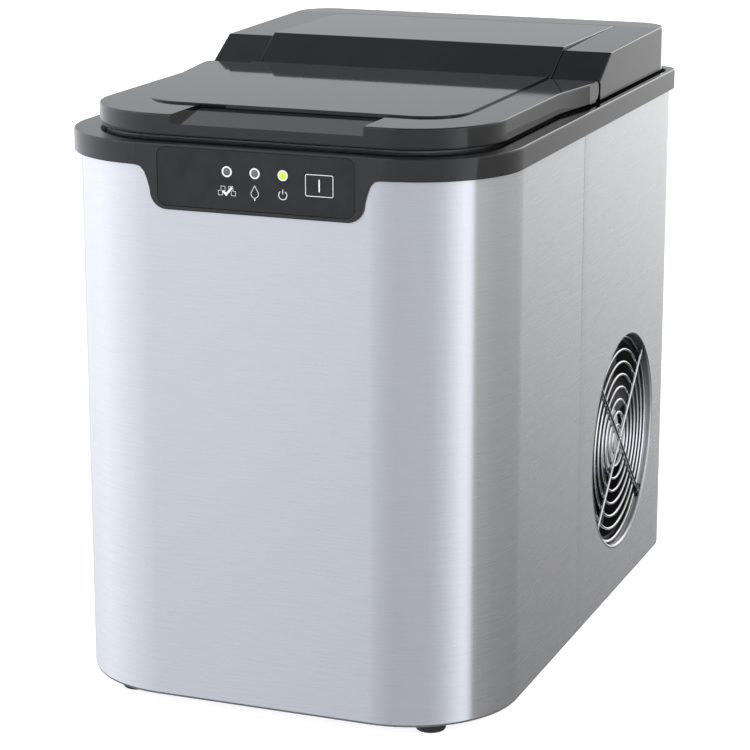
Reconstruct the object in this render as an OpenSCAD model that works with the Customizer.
// Countertop ice maker. Origin under its centre, on the surface that it stands on.
// +Z is up and -Y is the front, where the control panel is.

/* [Case] */
// Width across the black top rim
body_w = 242; // [236:1:250]
// Depth over the black top rim
body_d = 358; // [352:1:366]
// Height from the surface to the top of the rear housing
body_h = 328; // [324:1:334]
// Height of the rubber feet under the base pan
foot_h = 7.8; // [6:0.2:8]
// Distance that the rim stands out past the steel
rim_out = 1.6; // [1:0.1:2]
// Radius of the front vertical corners of the steel
front_r = 60; // [50:1:64]
// Thickness of the sheet steel
sheet_t = 0.8; // [0.5:0.1:1]

/* [Top] */
// Height of the black rim band
rim_h = 11.5; // [10:0.5:13]
// Height of the top face of the lid frame above the rim
lid_rise = 12.3; // [12:0.1:13]
// Half of the width of the raised window and of the housing panel
window_hw = 87.5; // [80:0.5:92]
// Width of the grip recess in the front edge of the lid
grip_w = 104; // [90:1:110]

/* [Fan] */
// Radius of the round opening in the side
fan_hole_r = 62.5; // [60:0.5:64]
// Height of the fan's axis
fan_z = 97; // [94:1:100]
// Number of rings in the wire guard
guard_rings_n = 8; // [6:1:9]

/* [Ice making] */
// Number of cold fingers on the evaporator
finger_n = 9; // [7:2:9]
// Radius of one cold finger
finger_r = 4.5; // [4:0.5:5]
// Height of the water tray's hinge line
tray_z = 222; // [220:1:224]

/* [Hidden] */
$fn = 96;
eps = 0.01;

rim_hw = body_w / 2;
rim_front = -body_d / 2;
rim_rear = body_d / 2;
rim_top = 302;
rim_bottom = rim_top - rim_h;
rim_front_r = front_r - 4;
rim_rear_r = 14;
rim_web_z = 293;
steel_hw = rim_hw - rim_out;
steel_front = rim_front + rim_out;
steel_rear = 172.5;
steel_rear_r = 12.5;
steel_z = foot_h + 1.2;
steel_top = rim_web_z - 0.2;
seam_y = -12.5;
floor_z = steel_z;

// Lid
lid_hw = 110;
lid_flare_hw = 115.5;
lid_front = -165;
lid_r = 48;
lid_z = 303.3;
lid_top = rim_top + lid_rise;
hinge_y = 20;
hinge_z = lid_top - 5;
pin_r = 1.75;
lug_x = 95.5;
window_front = -131;
window_top = lid_top + 0.9;

// Rear housing
house_hw = 115.5;
house_front = 26.6;
house_rear = 174;
house_r = 20;
house_wall = 2.5;
slope_top_y = 49;
strip_z = body_h - 1.7;
slope_foot_z = 313.2;

// Inner liner
bin_hw = 97;
bin_front = -156;
bin_rear = 88;
bin_floor = 168;
tank_hw = 92;
tank_front = -151;
tank_rear = 6;
tank_floor = 62;
liner_t = 2;

// Ice making assembly
tray_y = 52;
tray_hw = 68;
finger_y = tray_y - 21;
finger_tip_z = tray_z - 20;
bar_z = 240;
carrier_x = 71;

// Fan and condenser, on the right side
fan_y = 78;
fan_face_x = 113;
fan_t = 25;
fan_side = 120;
fan_bore_r = 57.5;
screw_pitch = 52.5;
guard_x = fan_face_x + 2.2;
wire_r = 0.9;
spoke_x = guard_x + 2 * wire_r - 0.05;
clip_r = 63.9;

// Machine compartment
comp_x = -55;
comp_y = 110;
comp_r = 44;
pump_x = -86;
pump_y = 28;
pump_z = 130;
feed_y = 42;

button_x = 34.35;
button_z = 286.15;
button_w = 15.1;
button_h = 11.3;
led_z = 290;
led_x = [-15, 0, 15];
foot_x = 84;
foot_y = [-152, 148];

// Plan outlines

// A rectangle from y0 to y1 with round corners, rf at the front and rr at the rear
module plan(hw, y0, y1, rf, rr) {
  translate([-hw, y0 + rf]) square([2 * hw, y1 - y0 - rf - rr]);
  translate([rf - hw, y0]) square([2 * (hw - rf), rf + eps]);
  translate([rr - hw, y1 - rr - eps]) square([2 * (hw - rr), rr + eps]);
  for (s = [-1, 1]) {
    translate([s * (hw - rf), y0 + rf]) circle(rf);
    translate([s * (hw - rr), y1 - rr]) circle(rr);
  }
}

// The steel wrap's outline, moved inwards by d
module steel_plan(d) {
  plan(steel_hw - d, steel_front + d, steel_rear - d, front_r - d, steel_rear_r - d);
}

// Lid outline: straight sides that step out to the housing's width near the hinge
module lid_plan(d, rear) {
  plan(lid_hw - d, lid_front + d, rear, lid_r - d, 1);
  polygon([[-lid_hw + d, -28], [-lid_flare_hw + d, 8], [-lid_flare_hw + d, rear],
    [lid_flare_hw - d, rear], [lid_flare_hw - d, 8], [lid_hw - d, -28]]);
}

// Prism along X of a profile drawn in Y and Z
module along_x(hw) {
  rotate([90, 0, 90]) translate([0, 0, -hw]) linear_extrude(2 * hw) children();
}

module x_rod(r, x0, x1, y, z) {
  translate([x0, y, z]) rotate([0, 90, 0]) cylinder(r = r, h = x1 - x0);
}

module y_rod(r, y0, y1, x, z) {
  translate([x, y1, z]) rotate([90, 0, 0]) cylinder(r = r, h = y1 - y0);
}

module block(x0, x1, y0, y1, z0, z1) {
  translate([x0, y0, z0]) cube([x1 - x0, y1 - y0, z1 - z0]);
}

// A pipe of radius r through a list of points, with its corners cut to arcs of radius bend

function unit(v) = v / norm(v);
function leg_in(p, i, b) = p[i] - unit(p[i] - p[i - 1]) * b;
function leg_out(p, i, b) = p[i] + unit(p[i + 1] - p[i]) * b;
function arc_point(a, m, b, t) = (1 - t) * (1 - t) * a + 2 * t * (1 - t) * m + t * t * b;
function route(p, b) = concat([p[0]],
  [for (i = [1 : len(p) - 2]) for (t = [0 : 0.25 : 1])
    arc_point(leg_in(p, i, b), p[i], leg_out(p, i, b), t)],
  [p[len(p) - 1]]);
function tangent(q, i) = unit(i == 0 ? q[1] - q[0]
  : i == len(q) - 1 ? q[i] - q[i - 1] : unit(q[i + 1] - q[i]) + unit(q[i] - q[i - 1]));
function side_on(v, t) = unit(v - (v * t) * t);
function sides(q, i, v) = i == len(q) ? []
  : let (s = side_on(v, tangent(q, i))) concat([s], sides(q, i + 1, s));

module pipe(points, r, bend, n = 10) {
  q = route(points, bend);
  t0 = tangent(q, 0);
  first = abs(t0[0]) < 0.8 ? [1, 0, 0] : [0, 0, 1];
  s = sides(q, 0, first);
  rings = [for (i = [0 : len(q) - 1]) for (k = [0 : n - 1])
    q[i] + r * (cos(360 * k / n) * s[i] + sin(360 * k / n) * cross(tangent(q, i), s[i]))];
  last = (len(q) - 1) * n;
  polyhedron(points = rings, faces = concat(
    [[for (k = [0 : n - 1]) k]],
    [for (i = [0 : len(q) - 2]) for (k = [0 : n - 1])
      [i * n + (k + 1) % n, i * n + k, (i + 1) * n + k, (i + 1) * n + (k + 1) % n]],
    [[for (k = [n - 1 : -1 : 0]) last + k]]));
}

// Case

module feet() color([0.08, 0.08, 0.08]) {
  for (x = [-foot_x, foot_x]) for (y = foot_y) translate([x, y, 0]) difference() {
    cylinder(r = 8.6, h = foot_h);
    translate([0, 0, -1]) cylinder(r = 4.2, h = 4);
    cylinder(r = 1.7, h = foot_h + 1);
  }
}

module foot_screws() color([0.7, 0.7, 0.72]) {
  for (x = [-foot_x, foot_x]) for (y = foot_y) translate([x, y, 1.2]) {
    cylinder(r = 3.4, h = 1.8);
    cylinder(r = 1.65, h = 13);
  }
}

module base_pan() color([0.25, 0.25, 0.26]) difference() {
  union() {
    translate([0, 0, foot_h]) linear_extrude(steel_z - foot_h) steel_plan(0.4);
    translate([0, 0, steel_z - eps]) linear_extrude(14) difference() {
      steel_plan(sheet_t + 0.2);
      steel_plan(sheet_t + 1.4);
    }
  }
  for (x = [-foot_x, foot_x]) for (y = foot_y)
    translate([x, y, 0]) cylinder(r = 1.7, h = 20);
  translate([-40, -130, 0]) cylinder(r = 9.1, h = 20);
  for (a = [90, 210, 330])
    translate([comp_x + 50 * cos(a), comp_y + 50 * sin(a), 0]) cylinder(r = 2.05, h = 20);
}

module steel_wrap(y0, y1) {
  translate([0, 0, steel_z]) linear_extrude(steel_top - steel_z) intersection() {
    difference() {
      steel_plan(0);
      steel_plan(sheet_t);
    }
    translate([-rim_hw, y0]) square([2 * rim_hw, y1 - y0]);
  }
}

module front_panel() color([0.78, 0.78, 0.79]) difference() {
  steel_wrap(steel_front - 1, seam_y - 0.05);
  block(-46, 46, steel_front - 1, steel_front + 2, 273, steel_top + 1);
}

module rear_panel() color([0.76, 0.76, 0.78]) difference() {
  steel_wrap(seam_y + 0.05, steel_rear + 1);
  x_rod(fan_hole_r, 100, 130, fan_y, fan_z);
  for (i = [0 : 8]) block(-130, -100, 40, 130, 44 + 12 * i, 48 + 12 * i);
  for (i = [0 : 7]) block(-70, 70, 165, 180, 150 + 12 * i, 154 + 12 * i);
  y_rod(7.5, 160, 180, -78, 40);
  for (x = [-95, 95]) for (z = [30, 270]) y_rod(1.65, 160, 180, x, z);
}

// The skirt that holds the controls, drawn in X and Z, with fillets where it meets the rim
module skirt_shape() {
  r = 9;
  polygon(concat(skirt_side(-1), [[-57.5, 277.7], [57.5, 277.7]],
    [for (i = [5 : -1 : 0]) skirt_side(1)[i]]));
  translate([r - 57.5, 268.7]) square([2 * (57.5 - r), r + eps]);
  for (s = [-1, 1]) translate([s * (57.5 - r), 268.7 + r]) circle(r);
}

function skirt_side(s) = [for (p = [[66, rim_bottom + 1], [65.9, rim_bottom], [62.7, 289.6],
  [60.5, 287.2], [59, 283.4], [58, 280]]) [s * p[0], p[1]]];

// Outline of the inset control label, drawn in X and Z
module label_shape(d) {
  r = 5 - d;
  hw = 53.2 - d;
  z0 = 270.8 + d;
  z1 = 300.8 - d;
  translate([-hw, z0 + r]) square([2 * hw, z1 - z0 - 2 * r]);
  translate([r - hw, z0]) square([2 * (hw - r), z1 - z0]);
  for (x = [-1, 1]) for (z = [z0 + r, z1 - r]) translate([x * (hw - r), z]) circle(r);
}

module on_front(y0, y1) {
  translate([0, y1, 0]) rotate([90, 0, 0]) linear_extrude(y1 - y0) children();
}

module hinge_lug(s) {
  translate([0, 0, rim_top - 1]) block(s * lug_x - 3, s * lug_x + 3, hinge_y - 3.3, hinge_y + 3.3,
    0, hinge_z - rim_top + 1);
  x_rod(3.3, s * lug_x - 3, s * lug_x + 3, hinge_y, hinge_z);
}

module top_rim() color([0.13, 0.13, 0.14]) difference() {
  union() {
    translate([0, 0, rim_bottom]) linear_extrude(rim_h)
      plan(rim_hw, rim_front, rim_rear, rim_front_r, rim_rear_r);
    on_front(rim_front, steel_front - 0.1) skirt_shape();
    for (s = [-1, 1]) hinge_lug(s);
  }
  translate([0, 0, rim_bottom - 1]) linear_extrude(rim_web_z - rim_bottom + 1)
    translate([0, 0.001]) plan(steel_hw + 0.1, steel_front - 0.1, steel_rear + 0.1,
      front_r - 0.1, steel_rear_r);
  translate([0, 0, rim_web_z - 1]) linear_extrude(20) plan(bin_hw + 0.5, bin_front - 0.5, 13, 28, 6);
  translate([0, 0, rim_web_z - 1]) linear_extrude(20) plan(100, 30, 160, 6, 12);
  // groove round the rear housing
  translate([0, 0, rim_top - 3]) linear_extrude(4) difference() {
    plan(house_hw + 2.3, 8, house_rear + 2.3, 1, house_r + 2);
    plan(house_hw, 0, house_rear, 1, house_r);
  }
  on_front(rim_front - 1, rim_front + 0.6) label_shape(0);
  for (x = led_x) y_rod(1.95, -185, -170, x, led_z);
  block(button_x - button_w / 2 - 0.2, button_x + button_w / 2 + 0.2, -185, -176,
    button_z - button_h / 2 - 0.2, button_z + button_h / 2 + 0.2);
  for (s = [-1, 1]) x_rod(pin_r + 0.05, s * lug_x - 5, s * lug_x + 5, hinge_y, hinge_z);
}

// Controls

module control_overlay() color([0.1, 0.1, 0.11]) difference() {
  on_front(rim_front, rim_front + 0.6) label_shape(0.1);
  for (x = led_x) y_rod(2.8, -185, -170, x, led_z);
  block(button_x - button_w / 2 - 0.2, button_x + button_w / 2 + 0.2, -185, -176,
    button_z - button_h / 2 - 0.2, button_z + button_h / 2 + 0.2);
}

module indicator_rings() color([0.9, 0.9, 0.9]) {
  for (x = led_x) difference() {
    y_rod(2.75, rim_front, rim_front + 0.6, x, led_z);
    y_rod(1.95, -185, -170, x, led_z);
  }
}

module indicator_lenses() color([0.6, 0.9, 0.3]) {
  for (x = led_x) y_rod(1.9, rim_front + 0.1, -173.1, x, led_z);
}

module power_button() color([0.12, 0.12, 0.13]) {
  block(button_x - button_w / 2, button_x + button_w / 2, rim_front, -175.6,
    button_z - button_h / 2, button_z + button_h / 2);
  block(button_x - button_w / 2 - 1, button_x + button_w / 2 + 1, -177.2, -176.2,
    button_z - button_h / 2 - 1, button_z + button_h / 2 + 0.5);
}

module control_board() color([0.1, 0.35, 0.18]) {
  block(-48, 48, -171, -169.4, 272, 292);
  for (x = led_x) y_rod(1.5, -173, -171, x, led_z);
  block(button_x - 3, button_x + 3, -174, -171, button_z - 3, button_z + 3);
  y_rod(1.5, -174.6, -174, button_x, button_z);
  block(-40, -30, -169.4, -165.5, 276, 288);
}

// Top

function slope_at(z) = house_front + (z - slope_foot_z) * (slope_top_y - house_front)
  / (strip_z - slope_foot_z);

module rear_housing() color([0.13, 0.13, 0.14]) difference() {
  intersection() {
    along_x(house_hw) polygon([[house_front + 1.6, rim_top], [house_front + 1.6, slope_foot_z - 1],
      [house_front, slope_foot_z], [slope_top_y, strip_z], [150, body_h], [house_rear, body_h],
      [house_rear, rim_top]]);
    translate([0, 0, rim_top]) linear_extrude(30)
      plan(house_hw, house_front, house_rear, 0.5, house_r);
  }
  // hollow inside
  intersection() {
    along_x(house_hw - house_wall) polygon([[house_front + 4.5, rim_top - 1],
      [house_front + 4.5, slope_foot_z - 1.5], [slope_top_y + 2.5, strip_z - 3.6],
      [150, body_h - 4.2], [house_rear - house_wall, body_h - 4.2],
      [house_rear - house_wall, rim_top - 1]]);
    translate([0, 0, rim_top - 1]) linear_extrude(30)
      plan(house_hw - house_wall, house_front + 1, house_rear - house_wall, 0.5,
        house_r - house_wall);
  }
  // seat of the centre panel
  along_x(window_hw + 0.25) polygon([[house_front - 2, slope_foot_z - 0.6],
    [house_front + 1.2, slope_foot_z - 0.6], [slope_top_y + 1.2, strip_z - 1.2],
    [150.2, body_h - 2.2], [150.2, body_h + 5], [house_front - 2, body_h + 5]]);
}

module housing_panel() color([0.14, 0.14, 0.15]) {
  along_x(window_hw) polygon([[house_front + 0.2, slope_foot_z - 0.55],
    [house_front + 1.3, slope_foot_z - 0.5], [slope_top_y + 1.25, strip_z - 1.15],
    [150, body_h - 2.1], [150, body_h], [slope_top_y + 1.4, body_h],
    [house_front, slope_foot_z + 0.6]]);
}

// The ramp that fingers slide into, under the lid's front edge
module grip_cut() {
  along_x(grip_w / 2) polygon([[lid_front - 1, lid_top - 4.8], [window_front + 0.5, lid_top - 1.2],
    [window_front + 0.5, lid_top + 2], [lid_front - 1, lid_top + 2]]);
}

module window_seat(hw, y0) {
  translate([0, 0, lid_top - 1]) linear_extrude(5) plan(hw, y0, hinge_y, 24, 0.5);
}

module lid_frame() color([0.13, 0.13, 0.14]) difference() {
  union() {
    translate([0, 0, lid_z]) linear_extrude(lid_top - lid_z) lid_plan(0, hinge_y);
    x_rod(5, -lid_flare_hw, lid_flare_hw, hinge_y, hinge_z);
  }
  // hollow underside, open through the middle for the window
  translate([0, 0, lid_z - 1]) linear_extrude(lid_top - lid_z - 5.9 + 1) lid_plan(2.4, 12);
  translate([0, 0, lid_z - 1]) linear_extrude(20) plan(window_hw - 5, window_front + 6, 8, 20, 6);
  window_seat(window_hw + 0.2, window_front - 0.2);
  // the knuckle is lower under the window's rolled rear edge
  difference() {
    x_rod(7, -window_hw - 0.2, window_hw + 0.2, hinge_y, hinge_z);
    x_rod(4, -rim_hw, rim_hw, hinge_y, hinge_z);
    block(-rim_hw, rim_hw, hinge_y - 20, hinge_y, 280, 330);
    block(-rim_hw, rim_hw, hinge_y - 20, hinge_y + 20, 280, hinge_z);
  }
  grip_cut();
  // notches for the rim's hinge lugs
  for (s = [-1, 1]) {
    block(s * lug_x - 3.5, s * lug_x + 3.5, hinge_y - 4, hinge_y + 10, lid_z - 1, hinge_z + 3.7);
    x_rod(pin_r + 0.01, s * lug_x - 9, s * lug_x + 9, hinge_y, hinge_z);
  }
}

module lid_window() color([0.16, 0.16, 0.17]) {
  difference() {
    translate([0, 0, lid_top - 0.95]) linear_extrude(window_top - lid_top + 0.95)
      plan(window_hw, window_front, hinge_y, 24, 0.5);
    translate([0, 0, -0.05]) grip_cut_clear();
  }
  // rear edge rolled round the hinge line
  intersection() {
    difference() {
      x_rod(window_top - hinge_z, -window_hw, window_hw, hinge_y, hinge_z);
      x_rod(4.05, -rim_hw, rim_hw, hinge_y, hinge_z);
    }
    block(-rim_hw, rim_hw, hinge_y - eps, hinge_y + 20, hinge_z, 330);
  }
}

// Keeps the window clear of the corners of the grip ramp
module grip_cut_clear() {
  along_x(grip_w / 2) polygon([[lid_front - 1, lid_top - 4.8], [window_front + 0.3, lid_top - 1.2],
    [window_front + 0.3, lid_top - 1], [lid_front - 1, lid_top - 1]]);
}

module lid_inner() color([0.85, 0.86, 0.87]) difference() {
  translate([0, 0, lid_z]) linear_extrude(1.8) intersection() {
    lid_plan(2.6, 11.8);
    translate([-rim_hw, -200]) square([2 * rim_hw, 211.5]);
  }
  translate([0, 0, lid_z - 1]) linear_extrude(20)
    plan(window_hw - 12, window_front + 12, 2, 14, 6);
}

module lid_seal() color([0.3, 0.3, 0.31]) {
  translate([0, 0, rim_top + 0.05]) linear_extrude(lid_z - rim_top - 0.05) difference() {
    plan(bin_hw + 7, bin_front - 5.5, 11, 38, 10);
    plan(bin_hw + 4, bin_front - 2.5, 8, 35, 7);
  }
}

module hinge_pins() color([0.75, 0.75, 0.77]) {
  for (s = [-1, 1]) x_rod(pin_r, s * lug_x - 8.5, s * lug_x + 8.5, hinge_y, hinge_z);
}

// Ice bin and water tank

module bin_solid(d) {
  translate([0, 0, bin_floor - d]) linear_extrude(rim_web_z - bin_floor + d)
    plan(bin_hw + d, bin_front - d, bin_rear + d, 26 + d, 6 + d);
  translate([0, 0, tank_floor - d]) linear_extrude(bin_floor - tank_floor)
    plan(tank_hw + d, tank_front - d, tank_rear + d, 21 + d, 8 + d);
}

module inner_liner() color([0.86, 0.87, 0.88]) difference() {
  union() {
    bin_solid(liner_t);
    translate([0, 0, rim_web_z - 2]) linear_extrude(2)
      plan(bin_hw + 9, bin_front - 8, bin_rear + 8, 36, 14);
  }
  translate([0, 0, 0.001]) bin_solid(0);
  translate([0, 0, bin_floor - 5]) linear_extrude(140)
    plan(tank_hw, tank_front, tank_rear, 21, 8);
  // the top stays open
  translate([0, 0, rim_web_z - 3]) linear_extrude(5)
    plan(bin_hw, bin_front, bin_rear, 26, 6);
  // holes for the hoses, the refrigerant pipes, the drain and the probes
  y_rod(3.5, 0, 20, pump_x + 10, 76);
  translate([pump_x, pump_y + 7, 160]) cylinder(r = 4.1, h = 20);
  for (s = [-1, 1]) y_rod(3.5, 80, 100, s * 84, 262);
  translate([-40, -130, 50]) cylinder(r = 6.1, h = 20);
  for (x = [-20, 20]) y_rod(1.55, 0, 20, x, 92);
}

module insulation() color([0.93, 0.9, 0.78]) difference() {
  translate([0, 0, 26]) linear_extrude(rim_web_z - 2.5 - 26) intersection() {
    steel_plan(sheet_t + 0.3);
    translate([-rim_hw, -200]) square([2 * rim_hw, 200 + seam_y]);
  }
  bin_solid(liner_t + 0.2);
  translate([0, 0, 280]) linear_extrude(20)
    plan(bin_hw + liner_t + 0.2, bin_front - liner_t - 0.2, bin_rear, 28, 6);
  block(-50, 50, -180, -164.5, 270, 300);
  translate([-40, -130, 0]) cylinder(r = 9.2, h = 80);
}

module ice_basket() color([0.88, 0.89, 0.9]) difference() {
  translate([0, 0, bin_floor + 0.1]) linear_extrude(94) plan(95, -154, 3, 24, 8);
  translate([0, 0, bin_floor + 2.1]) linear_extrude(94) plan(93, -152, 1, 22, 6);
  // the rear wall is low, so the cubes slide in over it
  block(-70, 70, -1, 5, 226, 300);
  // drain slots in the floor
  for (x = [-66 : 22 : 66]) for (y = [-130, -66]) block(x - 2.5, x + 2.5, y, y + 46, 160, 175);
  // hand holds
  block(-100, 100, -92, -58, 240, 254);
}

// Ice making

module evaporator() color([0.7, 0.71, 0.72]) difference() {
  block(-66, 66, finger_y - 8, finger_y + 8, bar_z, bar_z + 14);
  x_rod(3.51, -70, 70, finger_y, bar_z + 8);
  for (i = [0 : finger_n - 1])
    translate([15 * (i - (finger_n - 1) / 2), finger_y, bar_z - 1]) cylinder(r = 3.02, h = 4);
}

module ice_fingers() color([0.8, 0.8, 0.81]) {
  for (i = [0 : finger_n - 1]) translate([15 * (i - (finger_n - 1) / 2), finger_y, 0]) {
    translate([0, 0, finger_tip_z + finger_r - 1]) cylinder(r = finger_r, h = bar_z - finger_tip_z
      - finger_r + 1);
    translate([0, 0, finger_tip_z]) cylinder(r1 = 3, r2 = finger_r, h = finger_r - 1 + eps, $fn = 24);
    translate([0, 0, bar_z - 1]) cylinder(r = 3, h = 3.9);
  }
}

module evaporator_tube() color([0.72, 0.45, 0.3]) {
  x_rod(3.5, -70, 70, finger_y, bar_z + 8);
}

module tray_carrier() color([0.85, 0.86, 0.87]) difference() {
  union() {
    for (s = [-1, 1]) {
      translate([s * (carrier_x + 1.5), 0, 0]) block(-1.5, 1.5, 20, 64, 212, 270);
      translate([s * 84, 0, 0]) block(-12.9, 12.9, 24, 60, 268, 272);
    }
    block(-74, 74, 22, 60, 266, 270);
    block(-60, -52, finger_y - 4, finger_y + 4, bar_z + 14, 267);
    block(52, 60, finger_y - 4, finger_y + 4, bar_z + 14, 267);
  }
  x_rod(3.05, -80, 80, tray_y, tray_z);
  x_rod(3.6, -80, -60, feed_y, 234);
  for (s = [-1, 1]) x_rod(4.2, s * 72.5 - 5, s * 72.5 + 5, finger_y, bar_z + 8);
}

module water_tray() color([0.8, 0.82, 0.84]) {
  difference() {
    block(-tray_hw, tray_hw, tray_y - 38, tray_y - 4, tray_z - 30, tray_z);
    block(-tray_hw + 2, tray_hw - 2, tray_y - 36, tray_y - 6, tray_z - 28, tray_z + 1);
  }
  for (s = [-1, 1]) {
    translate([s * (tray_hw - 1), 0, 0]) block(-1, 1, tray_y - 6, tray_y, tray_z - 5, tray_z + 5);
    x_rod(5, s * (tray_hw - 1) - 1, s * (tray_hw - 1) + 1, tray_y, tray_z);
  }
  x_rod(3, -74.5, -tray_hw + 1, tray_y, tray_z);
  x_rod(3, tray_hw - 1, 83, tray_y, tray_z);
}

module ice_shovel() color([0.9, 0.91, 0.92]) {
  block(-66, 66, tray_y - 40, tray_y - 38, tray_z - 24, tray_z + 2);
  for (i = [0 : 8]) translate([15 * (i - 4), 0, 0])
    block(-4.5, 4.5, tray_y - 40, tray_y - 38, tray_z + 2 - eps, tray_z + 7);
}

module tray_motor() color([0.2, 0.2, 0.21]) difference() {
  union() {
    block(75, 95, 34, 72, 202, 244);
    x_rod(8, 74.3, 75, tray_y, tray_z);
  }
  x_rod(3.05, 70, 84, tray_y, tray_z);
}

module ice_sensors() color([0.15, 0.1, 0.12]) {
  for (s = [-1, 1]) translate([s * 93, 0, 0]) block(-4, 4, 6, 14, 262, 276);
}

module level_probes() color([0.8, 0.8, 0.8]) {
  for (x = [-20, 20]) {
    y_rod(1.5, 0, 14, x, 92);
    y_rod(3, 8.05, 10.5, x, 92);
  }
}

// Water pump, hoses and drain

module water_pump() color([0.2, 0.2, 0.22]) difference() {
  union() {
    y_rod(18, pump_y, pump_y + 14, pump_x, pump_z);
    y_rod(15, pump_y + 13, pump_y + 38, pump_x, pump_z);
    y_rod(4.5, pump_y - 8, pump_y + 1, pump_x, pump_z);
    translate([pump_x, pump_y + 7, pump_z + 16]) cylinder(r = 4.5, h = 6);
    // stand up from the base pan
    block(pump_x - 16, pump_x + 16, pump_y + 16, pump_y + 34, floor_z + 0.05, floor_z + 3);
    block(pump_x - 3, pump_x + 3, pump_y + 20, pump_y + 30, floor_z + 2, pump_z - 10);
  }
  y_rod(15.5, pump_y + 2, pump_y + 11, pump_x, pump_z);
  y_rod(2.5, pump_y - 12, pump_y + 3, pump_x, pump_z);
  translate([pump_x, pump_y + 7, pump_z + 12]) cylinder(r = 2.5, h = 20);
  y_rod(1.55, pump_y + 8, pump_y + 28, pump_x, pump_z);
}

module pump_impeller() color([0.9, 0.9, 0.9]) {
  y_rod(5, pump_y + 3, pump_y + 10.5, pump_x, pump_z);
  y_rod(1.5, pump_y + 10, pump_y + 27.5, pump_x, pump_z);
  translate([pump_x, pump_y, pump_z]) for (a = [0 : 60 : 300]) rotate([0, a, 0])
    block(3, 13.5, 3.6, 9.9, -0.8, 0.8);
}

module suction_hose() color([0.8, 0.8, 0.82]) {
  pipe([[pump_x + 10, 6.2, 76], [pump_x + 10, 15, 76], [pump_x + 10, 15, 98],
    [pump_x, 12.5, 112], [pump_x, 12.5, pump_z], [pump_x, pump_y - 8.1, pump_z]], 3.4, 3);
}

module feed_hose() color([0.8, 0.8, 0.82]) {
  pipe([[pump_x, pump_y + 7, pump_z + 22.1], [pump_x, pump_y + 7, 234],
    [pump_x + 7, feed_y, 234], [pump_x + 23, feed_y, 234]], 3.4, 4.5);
}

module drain_spout() color([0.85, 0.86, 0.87]) difference() {
  union() {
    translate([-40, -130, 2.6]) cylinder(r = 7, h = tank_floor - liner_t - 2.6);
    translate([-40, -130, tank_floor - liner_t - 0.01]) cylinder(r = 6, h = 2);
    translate([-40, -130, floor_z + 0.05]) cylinder(r = 11, h = 2);
  }
  translate([-40, -130, 0]) cylinder(r = 4, h = 80);
}

module drain_cap() color([0.1, 0.1, 0.1]) {
  translate([-40, -130, 0.8]) difference() {
    cylinder(r = 9, h = 6);
    translate([0, 0, 1.6]) cylinder(r = 7.1, h = 6);
  }
  translate([-40, -130, 1]) cylinder(r = 3.9, h = 6);
}

// Machine compartment

module compressor() color([0.1, 0.1, 0.11]) translate([comp_x, comp_y, 0]) {
  rotate_extrude() polygon(concat([[0, 28], [comp_r - 8, 28], [comp_r, 36], [comp_r, 78],
    [comp_r + 1.6, 78], [comp_r + 1.6, 82], [comp_r, 82], [comp_r, 112]],
    [for (a = [10 : 10 : 80]) [comp_r * cos(a), 112 + 30 * sin(a)]], [[0, 142]]));
  difference() {
    union() for (a = [90, 210, 330]) rotate(a) block(0, 57, -9, 9, 24, 28 + eps);
    for (a = [90, 210, 330]) rotate(a) translate([50, 0, 20]) cylinder(r = 4.05, h = 10);
  }
  translate([20, 30, 120]) cylinder(r = 3, h = 22);
  translate([34, -10, 118]) cylinder(r = 2.5, h = 22);
}

module compressor_feet() color([0.06, 0.06, 0.06]) {
  for (a = [90, 210, 330]) translate([comp_x + 50 * cos(a), comp_y + 50 * sin(a), 0]) difference() {
    union() {
      translate([0, 0, floor_z + 0.05]) cylinder(r = 7.5, h = 14.9);
      translate([0, 0, floor_z + 10]) cylinder(r = 4, h = 10.5);
    }
    cylinder(r = 2.05, h = 60);
  }
}

module compressor_studs() color([0.75, 0.75, 0.75]) {
  for (a = [90, 210, 330]) translate([comp_x + 50 * cos(a), comp_y + 50 * sin(a), 0]) {
    translate([0, 0, foot_h - 1.6]) cylinder(r = 4.5, h = 1.6);
    translate([0, 0, foot_h - 0.1]) cylinder(r = 2, h = 27);
    translate([0, 0, floor_z + 20.6]) cylinder(r = 4, h = 3);
  }
}

module terminal_cover() color([0.08, 0.08, 0.09]) {
  translate([comp_x, comp_y, 0]) rotate(80)
    block(comp_r + 2.2, comp_r + 11, -15, 15, 62, 100);
}

module condenser_fins() color([0.6, 0.61, 0.62]) difference() {
  block(60, 84, 20, 136, 39, 155);
  for (i = [0 : 18]) block(62, 85, 10, 140, 42 + 6 * i, 45 + 6 * i);
  for (k = [0 : 5]) for (x = [66, 78]) x_free_tube(x, k);
}

module x_free_tube(x, k) {
  translate([x, 39 + 19 * k, 30]) cylinder(r = 3.05, h = 140, $fn = 24);
}

module condenser_tube() color([0.72, 0.45, 0.3]) {
  for (k = [0 : 5]) for (x = [66, 78])
    translate([x, 39 + 19 * k, 34]) cylinder(r = 3, h = 126, $fn = 24);
  for (k = [0 : 4]) translate([66, 39 + 19 * k, k % 2 == 0 ? 160 : 34])
    rotate([-90, 0, 0]) cylinder(r = 2.6, h = 19, $fn = 24);
  for (k = [0 : 4]) translate([78, 39 + 19 * k, k % 2 == 0 ? 160 : 34])
    rotate([-90, 0, 0]) cylinder(r = 2.6, h = 19, $fn = 24);
  for (x = [66, 78]) for (k = [0 : 5]) for (z = [34, 160])
    translate([x, 39 + 19 * k, z]) sphere(r = 3, $fn = 24);
  translate([66, 134, 34]) rotate([0, 90, 0]) cylinder(r = 2.6, h = 12, $fn = 24);
}

module fan_shroud() color([0.5, 0.5, 0.51]) difference() {
  union() {
    block(60, 87.9, 16, 18, 12, 161);
    block(60, 87.9, 138, 140, 12, 161);
    block(86.9, 87.9, 16, 140, 12, 161);
    block(60, 87.9, 16, 140, 9.1, 12);
  }
  x_rod(57, 80, 100, fan_y, fan_z);
}

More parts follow.
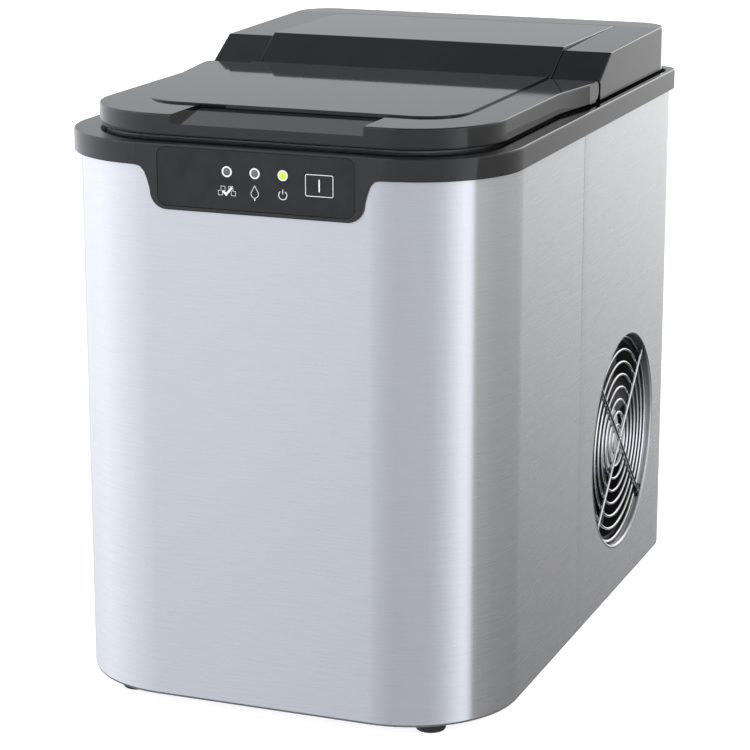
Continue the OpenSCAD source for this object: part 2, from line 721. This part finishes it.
module fan_frame() color([0.09, 0.09, 0.09]) {
  back = fan_face_x - fan_t;
  difference() {
    block(back, fan_face_x, fan_y - fan_side / 2, fan_y + fan_side / 2,
      fan_z - fan_side / 2, fan_z + fan_side / 2);
    x_rod(fan_bore_r, back - 1, fan_face_x + 1, fan_y, fan_z);
    // open corners between the two flanges
    for (sy = [-1, 1]) for (sz = [-1, 1]) translate([0, fan_y + sy * 58, fan_z + sz * 58]) {
      translate([back + 4, 0, 0]) rotate([0, 90, 0]) cylinder(r = 16, h = fan_t - 8);
    }
    for (sy = [-1, 1]) for (sz = [-1, 1])
      x_rod(2.2, back - 1, fan_face_x + 1, fan_y + sy * screw_pitch, fan_z + sz * screw_pitch);
  }
  difference() {
    union() {
      x_rod(19, back, back + 5, fan_y, fan_z);
      for (a = [45 : 90 : 315]) translate([back, fan_y, fan_z]) rotate([a, 0, 0])
        block(0, 4, 15, fan_bore_r + 1, -2.5, 2.5);
    }
    x_rod(1.55, back - 1, back + 10, fan_y, fan_z);
  }
}

module fan_rotor() color([0.12, 0.12, 0.12]) {
  back = fan_face_x - fan_t;
  x_rod(20, back + 5.6, fan_face_x - 2, fan_y, fan_z);
  x_rod(1.5, back + 0.5, back + 6, fan_y, fan_z);
  translate([back + 14, fan_y, fan_z]) for (i = [0 : 6]) rotate([360 / 7 * i, 0, 0])
    rotate([0, 0, 0]) translate([0, 0, 18]) rotate([0, 0, 38])
      translate([-0.8, -12, 0]) cube([1.6, 24, 36.5]);
}

// One ring of the guard, from the middle outwards, in wire of radius r
module guard_ring(i, r) {
  translate([guard_x, fan_y, fan_z]) rotate([0, 90, 0])
    rotate_extrude($fn = 96) translate([8.5 + 7.35 * i, 0]) circle(r, $fn = 16);
}

module guard_rings() color([0.82, 0.82, 0.83]) {
  for (i = [0 : guard_rings_n - 1]) guard_ring(i, wire_r);
}

// The crossing wires lie outside the rings, each with an eyelet pressed on its end
module guard_spokes() color([0.82, 0.82, 0.83]) {
  for (a = [45 : 90 : 315]) translate([spoke_x, fan_y, fan_z])
    rotate([a, 0, 0]) {
      translate([0, 0, 1.5]) cylinder(r = wire_r, h = 68.5);
      translate([-3.85, 0, screw_pitch * sqrt(2)]) rotate([0, 90, 0]) difference() {
        cylinder(r = 4.6, h = 3.5);
        translate([0, 0, -1]) cylinder(r = 2.2, h = 6);
      }
    }
}

// Posts on the fan frame that hook over the outermost ring and hold the crossing wires
module guard_clips() color([0.08, 0.08, 0.08]) difference() {
  for (a = [45 : 90 : 315]) translate([fan_face_x, fan_y, fan_z]) rotate([a, 0, 0]) {
    translate([0.05, 0, clip_r]) rotate([0, 90, 0]) cylinder(r = 3.8, h = 4.6);
    block(0.05, 4.65, -3, 3, 58.2, clip_r);
  }
  for (a = [45 : 90 : 315]) translate([spoke_x, fan_y, fan_z])
    rotate([a, 0, 0]) cylinder(r = wire_r + 0.05, h = 80);
  guard_ring(guard_rings_n - 1, wire_r + 0.05);
}

module fan_screws() color([0.2, 0.2, 0.2]) {
  for (sy = [-1, 1]) for (sz = [-1, 1]) {
    x_rod(2.1, fan_face_x - 8, guard_x + 2, fan_y + sy * screw_pitch, fan_z + sz * screw_pitch);
    x_rod(4, guard_x + 1.45, guard_x + 3.15, fan_y + sy * screw_pitch, fan_z + sz * screw_pitch);
  }
}

module filter_drier() color([0.75, 0.48, 0.32]) translate([18, 150, 0]) {
  translate([0, 0, 60]) cylinder(r = 9, h = 80);
  translate([0, 0, 140 - eps]) cylinder(r1 = 9, r2 = 3, h = 8, $fn = 48);
  translate([0, 0, 52]) cylinder(r1 = 3, r2 = 9, h = 8 + eps, $fn = 48);
}

module solenoid_valve() color([0.7, 0.7, 0.72]) {
  block(14, 38, 96, 118, 120, 146);
  translate([26, 107, 108]) cylinder(r = 6, h = 12);
  translate([26, 107, 146]) cylinder(r = 5, h = 8);
}

module discharge_pipe() color([0.72, 0.45, 0.3]) {
  pipe([[comp_x + 34, comp_y - 10, 140.1], [comp_x + 34, comp_y - 10, 166],
    [26, 107, 166], [26, 107, 154.1]], 2.5, 8);
  pipe([[26, 107, 107.9], [26, 107, 90], [45, 100, 90], [45, 39, 60], [45, 39, 34],
    [62.9, 39, 34]], 2.5, 6);
}

module liquid_pipe() color([0.72, 0.45, 0.3]) {
  pipe([[18, 150, 51.9], [18, 150, 22], [45, 60, 22], [78, 39, 22], [78, 39, 30.9]], 2, 4);
  pipe([[18, 150, 148.1], [18, 150, 185], [72, 120, 200], [84, 100, 250], [84, 94, 262],
    [84, 60, 262], [84, finger_y, bar_z + 8], [70.1, finger_y, bar_z + 8]], 1.2, 5);
}

module suction_pipe() color([0.72, 0.45, 0.3]) {
  pipe([[comp_x + 20, comp_y + 30, 142.1], [comp_x + 20, comp_y + 30, 200],
    [-84, 110, 240], [-84, 94, 262], [-84, 60, 262], [-84, finger_y, bar_z + 8],
    [-70.1, finger_y, bar_z + 8]], 2.8, 6);
}

module board_tray() color([0.88, 0.88, 0.86]) difference() {
  union() {
    block(-8, 62, 100, 168, 240, 242);
    block(-8, 62, 166, 170, 232, 280);
    for (x = [-2, 56]) for (y = [106, 158]) translate([x, y, 241]) cylinder(r = 3, h = 7);
  }
  for (x = [-2, 56]) for (y = [106, 158]) translate([x, y, 243]) cylinder(r = 1.2, h = 10);
}

module power_board() color([0.12, 0.36, 0.2]) {
  block(-6, 60, 102, 162, 248.05, 249.65);
  block(2, 24, 110, 136, 249.6, 272);
  block(32, 44, 112, 128, 249.6, 264);
  block(32, 44, 136, 152, 249.6, 264);
  translate([14, 150, 249.6]) cylinder(r = 7, h = 20);
}

module power_gland() color([0.07, 0.07, 0.07]) difference() {
  union() {
    y_rod(7.4, 168.5, steel_rear + 0.1, -78, 40);
    y_rod(10, steel_rear + 0.05, 178, -78, 40);
    y_rod(9, 168.5, steel_rear - sheet_t - 0.05, -78, 40);
  }
  y_rod(3.6, 160, 180, -78, 40);
}

module panel_screws() color([0.72, 0.72, 0.74]) {
  for (x = [-95, 95]) for (z = [30, 270]) {
    y_rod(1.6, 163, steel_rear + 0.1, x, z);
    y_rod(3.4, steel_rear + 0.05, steel_rear + 1.8, x, z);
  }
}

feet();
foot_screws();
base_pan();
front_panel();
rear_panel();
top_rim();
control_overlay();
indicator_rings();
indicator_lenses();
power_button();
control_board();
rear_housing();
housing_panel();
lid_frame();
lid_window();
lid_inner();
lid_seal();
hinge_pins();
inner_liner();
insulation();
ice_basket();
evaporator();
ice_fingers();
evaporator_tube();
tray_carrier();
water_tray();
ice_shovel();
tray_motor();
ice_sensors();
level_probes();
water_pump();
pump_impeller();
suction_hose();
feed_hose();
drain_spout();
drain_cap();
compressor();
compressor_feet();
compressor_studs();
terminal_cover();
condenser_fins();
condenser_tube();
fan_shroud();
fan_frame();
fan_rotor();
guard_rings();
guard_spokes();
guard_clips();
fan_screws();
filter_drier();
solenoid_valve();
discharge_pipe();
liquid_pipe();
suction_pipe();
board_tray();
power_board();
power_gland();
panel_screws();
